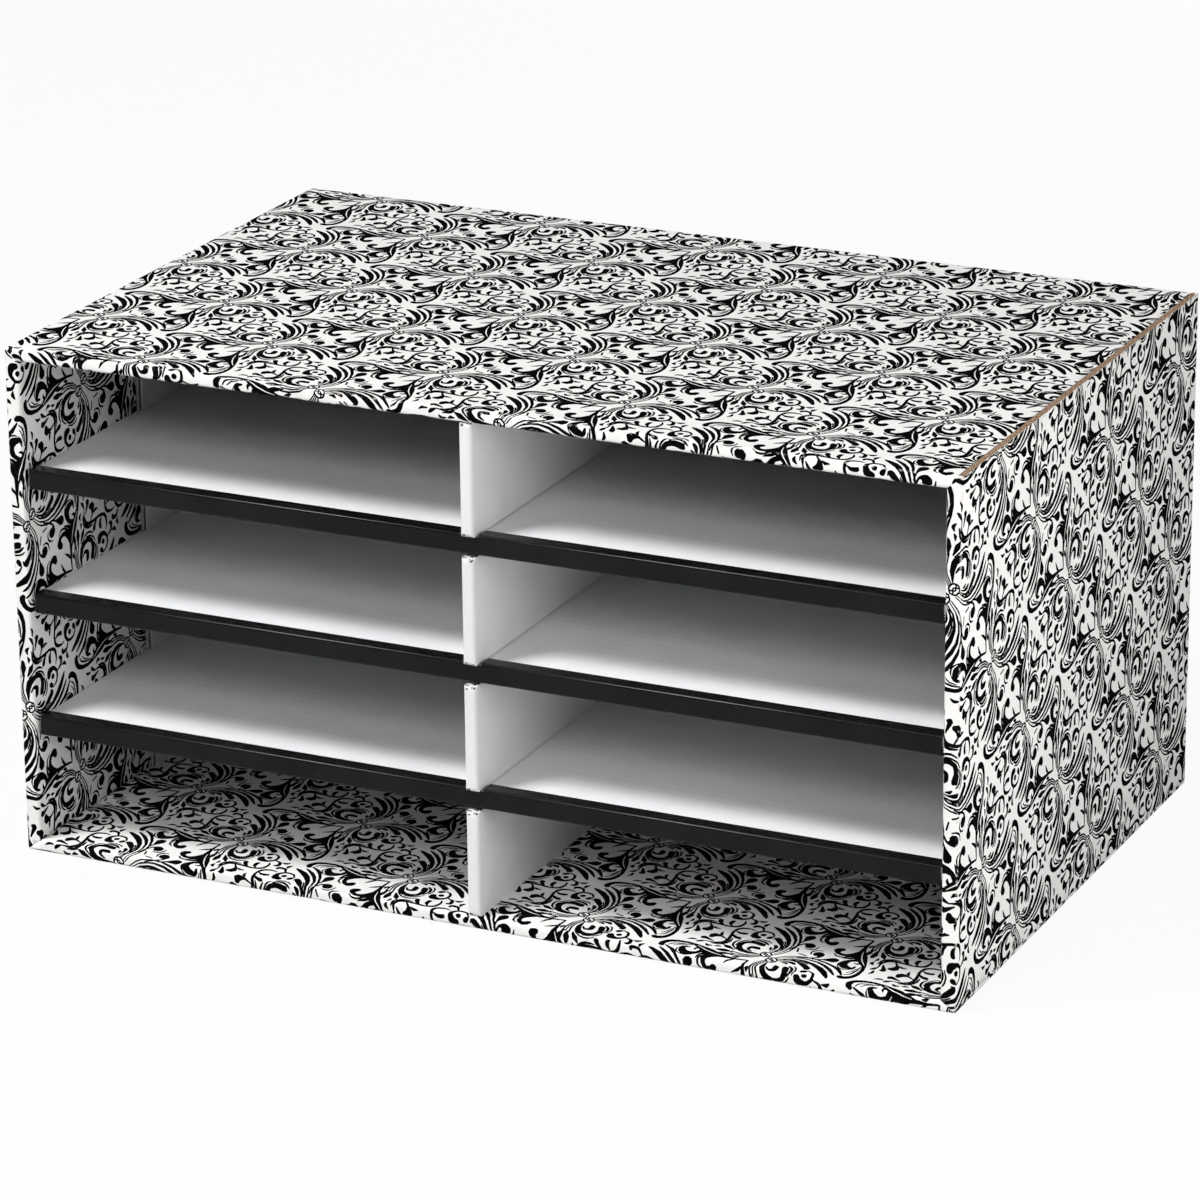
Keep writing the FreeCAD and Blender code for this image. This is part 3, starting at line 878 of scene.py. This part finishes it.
def coated_paper(settings):
    """Warm white clay-coated facing of the printed board."""
    shade = Shading("coated_paper", 0.5, 0.15)
    paper = tuple(settings.paper_colour)
    cloud = shade.ramp(shade.noise(38, 4), 0.35, 0.7)
    fibre = shade.noise(1400, 2, 0.6, shade.stretched((1.0, 0.25, 1.0)))
    colour = shade.mix(cloud, paper, [c * 0.955 for c in paper])
    speck = shade.ramp(fibre, 0.62, 0.78, 0.0, 0.35)
    colour = shade.mix(speck, colour, [c * f for c, f in zip(paper, (0.86, 0.84, 0.80))])
    worn = shade.math("MULTIPLY", near_case_edge(shade, 1.6 * MM),
                      shade.ramp(shade.noise(170, 4), 0.52, 0.66, 0.0, 0.55))
    colour = shade.mix(worn, colour, settings.kraft_colour)
    shade.paint(colour, shade.ramp(cloud, 0.0, 1.0, 0.46, 0.56))
    shade.bump((flute_ripple(shade, "Y", settings.flute_pitch), 0.035 * MM),
               (shade.noise(120, 3), 0.05 * MM), (fibre, 0.012 * MM))
    return shade.material


def printed_ink(settings):
    """Black ink of the ornament, thin enough for the fibres to show."""
    shade = Shading("printed_ink", 0.55, 0.0)
    ink = tuple(settings.ink_colour)
    fibre = shade.noise(1400, 2, 0.6, shade.stretched((1.0, 0.25, 1.0)))
    mottle = shade.ramp(shade.noise(260, 4), 0.38, 0.72)
    colour = shade.mix(mottle, ink, [c + 0.003 for c in ink])
    pinhole = shade.ramp(fibre, 0.70, 0.80, 0.0, 0.05)
    colour = shade.mix(pinhole, colour, (0.30, 0.30, 0.30))
    cracked = shade.math("MULTIPLY", near_case_edge(shade, 1.3 * MM),
                         shade.ramp(shade.noise(420, 3), 0.50, 0.62, 0.0, 0.6))
    colour = shade.mix(cracked, colour, settings.paper_colour)
    shade.paint(colour, shade.ramp(mottle, 0.0, 1.0, 0.5, 0.6))
    shade.bump((flute_ripple(shade, "Y", settings.flute_pitch), 0.035 * MM),
               (shade.noise(120, 3), 0.05 * MM), (fibre, 0.010 * MM))
    return shade.material


def kraft_paper(settings):
    """Brown unbleached paper: inner facing, flutes and cut edges of the printed board."""
    shade = Shading("kraft_paper", 0.78)
    kraft = tuple(settings.kraft_colour)
    fibre = shade.noise(900, 3, 0.6, shade.stretched((1.0, 0.3, 1.0)))
    cloud = shade.ramp(shade.noise(55, 4), 0.3, 0.75)
    colour = shade.mix(cloud, kraft, [c * 0.82 for c in kraft])
    colour = shade.mix(shade.ramp(fibre, 0.35, 0.7, 0.0, 0.5), colour,
                       [min(c * 1.25, 1) for c in kraft])
    shade.paint(colour)
    shade.bump((fibre, 0.04 * MM), (shade.noise(160, 3), 0.06 * MM))
    return shade.material


def core_shadow(settings):
    """Kraft of the flute hollows in a cut edge, darkened as painted shade."""
    shade = Shading("core_painted_shade", 0.9)
    fibre = shade.noise(700, 3)
    # Painted shade: the kraft is darkened to 30 to 45 per cent for the shade deep in the hollows.
    painted_hollow_shade = [c * 0.30 for c in settings.kraft_colour]
    shade.paint(shade.mix(fibre, painted_hollow_shade, [c * 0.45 for c in settings.kraft_colour]))
    shade.bump((fibre, 0.05 * MM))
    return shade.material


def white_facing(settings):
    """Bleached facing of the insert boards, with fibres and a faint washboard."""
    shade = Shading("white_facing", 0.62)
    white = tuple(settings.board_colour)
    cloud = shade.ramp(shade.noise(42, 5), 0.3, 0.72)
    fibre = shade.noise(1100, 3, 0.6, shade.stretched((0.3, 1.0, 0.3)))
    colour = shade.mix(cloud, white, [c * f for c, f in zip(white, (0.945, 0.95, 0.96))])
    speck = shade.ramp(fibre, 0.60, 0.75, 0.0, 0.4)
    colour = shade.mix(speck, colour, [c * f for c, f in zip(white, (0.88, 0.87, 0.84))])
    shade.paint(colour, shade.ramp(cloud, 0.0, 1.0, 0.58, 0.68))
    shade.bump((flute_ripple(shade, "Y", settings.flute_pitch), 0.03 * MM),
               (shade.noise(140, 3), 0.06 * MM), (fibre, 0.02 * MM))
    return shade.material


def cut_board(settings):
    """Cut edge of the insert boards: two facings with the flutes between them, the hollows painted
    near black as shade.
    """
    shade = Shading("cut_board", 0.8)
    place = shade.add("ShaderNodeUVMap", uv_map="CutEdge").outputs[0]
    along, share, _ = shade.add("ShaderNodeSeparateXYZ", {0: place}).outputs
    turn = shade.math("MULTIPLY", along, 2 * math.pi * MM / settings.flute_pitch)
    wave = shade.math("MULTIPLY_ADD", shade.math("SINE", turn), 0.31, 0.5)
    gap = shade.math("ABSOLUTE", shade.math("SUBTRACT", share, wave))
    flute = shade.ramp(gap, 0.07, 0.13, 1.0, 0.0)
    middle = shade.math("ABSOLUTE", shade.math("SUBTRACT", share, 0.5))
    facing = shade.ramp(middle, 0.36, 0.40)
    solid = shade.math("MAXIMUM", flute, facing)
    fibre = shade.noise(900, 3)
    light = shade.mix(fibre, settings.board_colour, [c * 0.8 for c in settings.board_colour])
    # Painted shade: the hollows between the flutes and the facings take a tenth of the board's
    # white.
    painted_hollow_shade = [c * 0.1 for c in settings.board_colour]
    shade.paint(shade.mix(solid, painted_hollow_shade, light))
    shade.bump((solid, 0.3 * MM), (fibre, 0.04 * MM))
    return shade.material


def black_plastic(settings):
    """Satin black of the moulded channels, with faint drag lines and dust."""
    shade = Shading("black_plastic", 0.26, 0.18)
    black = tuple(settings.moulding_colour)
    drag = shade.noise(520, 3, 0.6, shade.stretched((0.02, 1.0, 1.0)))
    grain = shade.noise(2600, 2)
    cloud = shade.ramp(shade.noise(30, 4), 0.35, 0.7)
    colour = shade.mix(cloud, black, [c * 1.5 + 0.002 for c in black])
    dust = shade.ramp(shade.noise(3200, 1), 0.72, 0.82, 0.0, 0.12)
    colour = shade.mix(dust, colour, (0.10, 0.10, 0.10))
    shade.paint(colour, shade.ramp(drag, 0.3, 0.7, 0.22, 0.32))
    shade.bump((drag, 0.02 * MM), (grain, 0.006 * MM))
    return shade.material


def surface_material(settings, name):
    """The named material, made when it is first asked for."""
    makers = {"coated_paper": coated_paper, "printed_ink": printed_ink,
              "kraft_paper": kraft_paper, "core_painted_shade": core_shadow,
              "white_facing": white_facing, "cut_board": cut_board,
              "black_plastic": black_plastic}
    return bpy.data.materials.get(name) or makers[name](settings)


def board_finishes(settings):
    """Facing and cut edge of the insert boards."""
    return [surface_material(settings, name) for name in ("white_facing", "cut_board")]


class FinishSettings(bpy.types.PropertyGroup):
    """Colours and board sizes that every piece shares."""

    paper_colour: FloatVectorProperty(
        name="Paper", description="Facing of the printed board", subtype="COLOR", size=3,
        min=0, max=1, default=(0.82, 0.81, 0.795))
    ink_colour: FloatVectorProperty(
        name="Ink", description="Ink of the ornament", subtype="COLOR", size=3,
        min=0, max=1, default=(0.002, 0.002, 0.0022))
    kraft_colour: FloatVectorProperty(
        name="Kraft", description="Core and inner facing of the printed board",
        subtype="COLOR", size=3, min=0, max=1, default=(0.44, 0.31, 0.215))
    board_colour: FloatVectorProperty(
        name="White board", description="Facing of the divider, shelves and liners",
        subtype="COLOR", size=3, min=0, max=1, default=(0.76, 0.765, 0.77))
    moulding_colour: FloatVectorProperty(
        name="Moulding", description="Black channels on the shelf edges", subtype="COLOR",
        size=3, min=0, max=1, default=(0.00216, 0.00216, 0.002376))
    flute_pitch: FloatProperty(
        name="Flute pitch", description="From one flute to the next", unit="LENGTH",
        default=6.5 * MM, min=1 * MM)


class PrintSettings(bpy.types.PropertyGroup):
    """Sizes of the printed case."""

    repeat_along: FloatProperty(
        name="Repeat along", description="Ornament repeat along its mirror line",
        unit="LENGTH", default=63.8 * MM, min=20 * MM)
    repeat_across: FloatProperty(
        name="Repeat across", description="Ornament repeat across its mirror line",
        unit="LENGTH", default=75.8 * MM, min=20 * MM)
    stroke_gain: FloatProperty(
        name="Stroke gain", description="How much wider than drawn the strokes print",
        subtype="FACTOR", default=1.15, min=0.5, max=2)
    ink_spread: FloatProperty(
        name="Ink spread", description="Width that every stroke gains in the press",
        unit="LENGTH", default=0.28 * MM, min=0)
    fold_radius: FloatProperty(
        name="Fold radius", description="Outside radius of the folds", unit="LENGTH",
        default=1.6 * MM, min=0.5 * MM)
    fold_steps: IntProperty(
        name="Fold steps", description="Facets on each side of a fold", default=3, min=1)
    liner_paper: FloatProperty(
        name="Facing", description="Thickness of the facing paper", unit="LENGTH",
        default=0.35 * MM, min=0.1 * MM)
    core_depth: FloatProperty(
        name="Core depth", description="How deep the flutes show at a cut edge",
        unit="LENGTH", default=1.2 * MM, min=0)
    raw_gap: FloatProperty(
        name="Edge gap", description="Gap beside the cut edge along the top",
        unit="LENGTH", default=0.6 * MM, min=0)


class InsertSettings(bpy.types.PropertyGroup):
    """Sizes of the white insert and its black channels."""

    foot_radius: FloatProperty(
        name="Foot radius", description="Rounded front corners of the divider's feet",
        unit="LENGTH", default=2.4 * MM, min=0)
    board_softness: FloatProperty(
        name="Board edge", description="Rounding of the cut board edges", unit="LENGTH",
        default=0.12 * MM, min=0)
    moulding_front: FloatProperty(
        name="Moulding front", description="Rounding of the channel's front edges",
        unit="LENGTH", default=1.2 * MM, min=0)
    moulding_softness: FloatProperty(
        name="Moulding edge", description="Rounding of the channel's other edges",
        unit="LENGTH", default=0.3 * MM, min=0)


class StageSettings(bpy.types.PropertyGroup):
    """Floor, light and camera."""

    camera_place: FloatVectorProperty(
        name="Camera", description="Where the camera stands", subtype="TRANSLATION", size=3,
        default=(1.088427, -2.303773, 1.029669))
    camera_turn: FloatVectorProperty(
        name="Camera turn", description="Azimuth, elevation and roll in degrees", size=3,
        default=(25.411, 19.736, -0.594))
    lens: FloatProperty(
        name="Lens", description="Focal length on a 36 mm frame", unit="CAMERA",
        default=163.77)
    floor_colour: FloatVectorProperty(
        name="Floor", description="Pale floor under the sorter", subtype="COLOR", size=3,
        min=0, max=1, default=(0.58, 0.58, 0.58))


class BuildStep:
    """What every operator here shares."""

    bl_options = {"REGISTER", "UNDO"}


class CaseBuilder(BuildStep):
    """What the operators of the printed case share."""

    def build(self, context, names):
        """Builds the named sheets of the case with the board behind them."""
        scene = context.scene
        finish, sizes = scene.organizer_finish, scene.organizer_print
        materials = [surface_material(finish, name) for name in
                     ("coated_paper", "printed_ink", "kraft_paper", "core_painted_shade")]
        tile = ornament_tile(sizes)
        slabs = board_slabs(sizes)
        for name, node, regions, planes, layout in case_walls(sizes):
            if name in names:
                sheet = sheet_mesh(name, regions, planes, tile, sizes, layout,
                                   sizes.liner_paper)
                wall_piece(name, node, sheet, slabs[name], materials)
        return {"FINISHED"}


class ORGANIZER_OT_walls(CaseBuilder, bpy.types.Operator):
    """Builds the printed outside of the case with its front rims"""

    bl_idname = "organizer.walls"
    bl_label = "Printed walls"

    def execute(self, context):
        return self.build(context, ("top_wall", "bottom_wall", "right_wall", "left_wall",
                                    "back_wall"))


class ORGANIZER_OT_flaps(CaseBuilder, bpy.types.Operator):
    """Builds the printed flaps that are turned in behind the front rims"""

    bl_idname = "organizer.flaps"
    bl_label = "Turned-in flaps"

    def execute(self, context):
        return self.build(context, ("top_flap", "bottom_flap", "right_flap", "left_flap"))


class ORGANIZER_OT_hidden_tabs(BuildStep, bpy.types.Operator):
    """Finishes the tabs and dust flaps inside the walls in kraft"""

    bl_idname = "organizer.hidden_tabs"
    bl_label = "Tabs and dust flaps"

    def execute(self, context):
        kraft = surface_material(context.scene.organizer_finish, "kraft_paper")
        for side in SIDES:
            for node in ("ceiling_tab_", "floor_tab_", "back_dust_flap_"):
                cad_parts[node + side].material_slots[0].material = kraft
        return {"FINISHED"}


class ORGANIZER_OT_edge_flutes(BuildStep, bpy.types.Operator):
    """Builds the fluted paper that shows in the cut edge along the top of the right side"""

    bl_idname = "organizer.edge_flutes"
    bl_label = "Edge flutes"

    def execute(self, context):
        finish, sizes = context.scene.organizer_finish, context.scene.organizer_print
        kraft = surface_material(finish, "kraft_paper")
        height = CASE_PLY - 2 * sizes.liner_paper
        start = Vector((HALF_WIDTH - CASE_PLY / 2, FRONT + CASE_PLY + STRIP_GAP,
                        TOP - sizes.core_depth / 2))
        matrix = Matrix.Translation(start) @ Matrix((
            (0, 0, 1, 0), (1, 0, 0, 0), (0, 1, 0, 0), (0, 0, 0, 1)))
        strip = fluted_strip(
            flute_tree(), "top_edge_flutes", BACK - start.y - STRIP_GAP,
            {"Pitch": finish.flute_pitch, "Height": height, "Paper": FLUTE_PAPER,
             "Depth": sizes.core_depth - 0.1 * MM}, kraft, matrix)
        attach(strip, "case")
        return {"FINISHED"}


class ORGANIZER_OT_divider(BuildStep, bpy.types.Operator):
    """Builds the folded divider, its feet rounded at the front"""

    bl_idname = "organizer.divider"
    bl_label = "Centre divider"

    def execute(self, context):
        finish, sizes = context.scene.organizer_finish, context.scene.organizer_insert
        bm = merged_copy("centre_divider")
        low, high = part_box("centre_divider")
        comb = bmesh.new()
        section = [comb.verts.new((low.x - MM, y, z))
                   for y, z in foot_outline(bm, sizes.foot_radius)]
        base = comb.faces.new(section)
        swept = bmesh.ops.extrude_face_region(comb, geom=[base])
        bmesh.ops.translate(comb, vec=ACROSS * (high.x - low.x + 2 * MM),
                            verts=[v for v in swept["geom"] if isinstance(v, bmesh.types.BMVert)])
        bmesh.ops.recalc_face_normals(comb, faces=comb.faces)
        bm = intersected(bm, comb)
        ply = (high.x - low.x - DIVIDER_GAP) / 2
        front = FRONT + FOLD_DEPTH
        mark_cut_edges(bm, lambda face: abs(face.normal.x) < 0.5 and (
            abs(face.normal.z) > 0.35 or face.calc_center_median().y > front), 0,
            ((low.x, low.x + ply), (high.x - ply, high.x)))
        finished_piece("divider", bm, "centre_divider", "case",
                       board_finishes(finish))
        return {"FINISHED"}


class ORGANIZER_OT_liners(BuildStep, bpy.types.Operator):
    """Builds the slotted boards that line the sides"""

    bl_idname = "organizer.liners"
    bl_label = "Side liners"

    def execute(self, context):
        finish, sizes = context.scene.organizer_finish, context.scene.organizer_insert
        for side in SIDES:
            node = "side_liner_" + side
            bm = merged_copy(node)
            low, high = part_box(node)
            middle = (low.x + high.x) / 2
            soften_edges(bm, sizes.board_softness, 1, sharper_than=60)
            mark_cut_edges(bm, lambda face: abs(face.normal.x) < 0.5, 0,
                           ((low.x, middle), (middle, high.x)))
            finished_piece("liner_" + side, bm, node, "case",
                           board_finishes(finish))
        return {"FINISHED"}


class ORGANIZER_OT_shelves(BuildStep, bpy.types.Operator):
    """Builds the three folded shelves"""

    bl_idname = "organizer.shelves"
    bl_label = "Shelves"

    def execute(self, context):
        finish, sizes = context.scene.organizer_finish, context.scene.organizer_insert
        for level in LEVELS:
            node = "shelf_board_" + level
            bm = merged_copy(node)
            low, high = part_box(node)
            ply = (high.z - low.z - SHELF_GAP) / 2
            soften_edges(bm, sizes.board_softness, 1, sharper_than=60)
            mark_cut_edges(bm, lambda face: abs(face.normal.z) < 0.5, 2,
                           ((low.z, low.z + ply), (high.z - ply, high.z)))
            finished_piece("shelf_" + level, bm, node, "shelf_" + level,
                           board_finishes(finish))
        return {"FINISHED"}


class ORGANIZER_OT_channels(BuildStep, bpy.types.Operator):
    """Builds the black moulded channels on the shelf edges"""

    bl_idname = "organizer.channels"
    bl_label = "Black channels"

    def execute(self, context):
        finish, sizes = context.scene.organizer_finish, context.scene.organizer_insert
        for level in LEVELS:
            node = "shelf_trim_" + level
            bm = merged_copy(node)
            soften_edges(bm, sizes.moulding_front, 5, ahead_of=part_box(node)[0].y + 0.1 * MM)
            soften_edges(bm, sizes.moulding_softness, 2)
            finished_piece("channel_" + level, bm, node, "shelf_" + level,
                           [surface_material(finish, "black_plastic")])
        return {"FINISHED"}


class ORGANIZER_OT_stage(BuildStep, bpy.types.Operator):
    """Sets the floor, the light and the camera"""

    bl_idname = "organizer.stage"
    bl_label = "Stage"

    def execute(self, context):
        scene, settings = context.scene, context.scene.organizer_stage
        mesh = bpy.data.meshes.new("floor")
        mesh.from_pydata([(x * FLOOR_REACH, y * FLOOR_REACH, -FLOOR_DROP)
                          for x, y in ((-1, -1), (1, -1), (1, 1), (-1, 1))],
                         [], [(0, 1, 2, 3)])
        floor = bpy.data.objects.new("floor", mesh)
        scene.collection.objects.link(floor)
        mesh.materials.append(self.floor_material(settings))
        self.light_world(scene)
        for name, place, aim, size, power in LAMPS:
            data = bpy.data.lights.new(name, "AREA")
            data.shape = "RECTANGLE"
            data.size, data.size_y = size
            data.energy = power
            lamp = bpy.data.objects.new(name, data)
            ahead = Vector(aim) - Vector(place)
            lamp.matrix_world = (Matrix.Translation(place)
                                 @ ahead.to_track_quat("-Z", "Y").to_matrix().to_4x4())
            lamp.visible_camera = False
            scene.collection.objects.link(lamp)
        self.place_camera(scene, settings)
        scene.view_settings.view_transform = "Standard"
        return {"FINISHED"}

    def floor_material(self, settings):
        """Pale floor that takes a shadow and shows white around it."""
        material = bpy.data.materials.new("pale_floor")
        material.use_nodes = True
        tree = material.node_tree
        surface = tree.nodes["Principled BSDF"]
        surface.inputs["Base Color"].default_value = (*settings.floor_colour, 1)
        surface.inputs["Roughness"].default_value = 0.9
        glow = add_node(tree, "ShaderNodeEmission", {"Color": (1, 1, 1, 1)})
        rays = add_node(tree, "ShaderNodeLightPath")
        seen = add_node(tree, "ShaderNodeMath", {0: rays.outputs["Is Camera Ray"],
                                                 1: FLOOR_WHITE}, operation="MULTIPLY")
        blend = add_node(tree, "ShaderNodeMixShader", {
            0: seen.outputs[0], 1: surface.outputs[0], 2: glow.outputs[0]})
        tree.links.new(blend.outputs[0], tree.nodes["Material Output"].inputs["Surface"])
        return material

    def light_world(self, scene):
        """Even surroundings: white to the camera, plain level to the object."""
        world = bpy.data.worlds.new("studio")
        world.use_nodes = True
        tree = world.node_tree
        surround = tree.nodes["Background"]
        surround.inputs["Color"].default_value = (1, 1, 1, 1)
        surround.inputs["Strength"].default_value = ROOM_LIGHT
        white = add_node(tree, "ShaderNodeBackground", {"Color": (1, 1, 1, 1)})
        rays = add_node(tree, "ShaderNodeLightPath")
        blend = add_node(tree, "ShaderNodeMixShader", {
            0: rays.outputs["Is Camera Ray"], 1: surround.outputs[0], 2: white.outputs[0]})
        tree.links.new(blend.outputs[0], tree.nodes["World Output"].inputs["Surface"])
        scene.world = world

    def place_camera(self, scene, settings):
        """Camera at the photograph's angle."""
        azimuth, elevation, roll = (math.radians(value) for value in settings.camera_turn)
        ahead = Vector((-math.sin(azimuth) * math.cos(elevation),
                        math.cos(azimuth) * math.cos(elevation), -math.sin(elevation)))
        level = Vector((math.cos(azimuth), math.sin(azimuth), 0))
        upward = level.cross(ahead)
        right = level * math.cos(roll) + upward * math.sin(roll)
        over = upward * math.cos(roll) - level * math.sin(roll)
        data = bpy.data.cameras.new("camera")
        data.lens = settings.lens
        data.sensor_width = 36
        data.clip_end = 100
        camera = bpy.data.objects.new("camera", data)
        turn = Matrix((right, over, -ahead)).transposed().to_4x4()
        camera.matrix_world = Matrix.Translation(settings.camera_place) @ turn
        scene.collection.objects.link(camera)
        scene.camera = camera


class ORGANIZER_PT_panel(bpy.types.Panel):
    """Sidebar panel with the sizes, the colours and the pieces"""

    bl_idname = "ORGANIZER_PT_panel"
    bl_label = "Literature organizer"
    bl_space_type = "VIEW_3D"
    bl_region_type = "UI"
    bl_category = "Organizer"

    def draw(self, context):
        for name, settings in SETTINGS.items():
            box = self.layout.box()
            box.label(text=settings.__doc__)
            for prop in settings.__annotations__:
                box.prop(getattr(context.scene, name), prop)
        for operator in OPERATORS:
            self.layout.operator(operator.bl_idname)


SETTINGS = {
    "organizer_finish": FinishSettings,
    "organizer_print": PrintSettings,
    "organizer_insert": InsertSettings,
    "organizer_stage": StageSettings,
}
OPERATORS = (
    ORGANIZER_OT_stage,
    ORGANIZER_OT_walls,
    ORGANIZER_OT_flaps,
    ORGANIZER_OT_hidden_tabs,
    ORGANIZER_OT_edge_flutes,
    ORGANIZER_OT_divider,
    ORGANIZER_OT_liners,
    ORGANIZER_OT_shelves,
    ORGANIZER_OT_channels,
)


def register():
    """Adds the settings, the operators and the panel to Blender."""
    for group in (*SETTINGS.values(), *OPERATORS, ORGANIZER_PT_panel):
        bpy.utils.register_class(group)
    for name, settings in SETTINGS.items():
        setattr(bpy.types.Scene, name, PointerProperty(type=settings))


def unregister():
    """Takes them out again."""
    for name in SETTINGS:
        delattr(bpy.types.Scene, name)
    for group in (ORGANIZER_PT_panel, *reversed(OPERATORS), *reversed(SETTINGS.values())):
        bpy.utils.unregister_class(group)


def main():
    """Registers the add-on and builds every piece."""
    register()
    for operator in OPERATORS:
        group, name = operator.bl_idname.split(".")
        getattr(getattr(bpy.ops, group), name)()


if __name__ == "__main__":
    main()
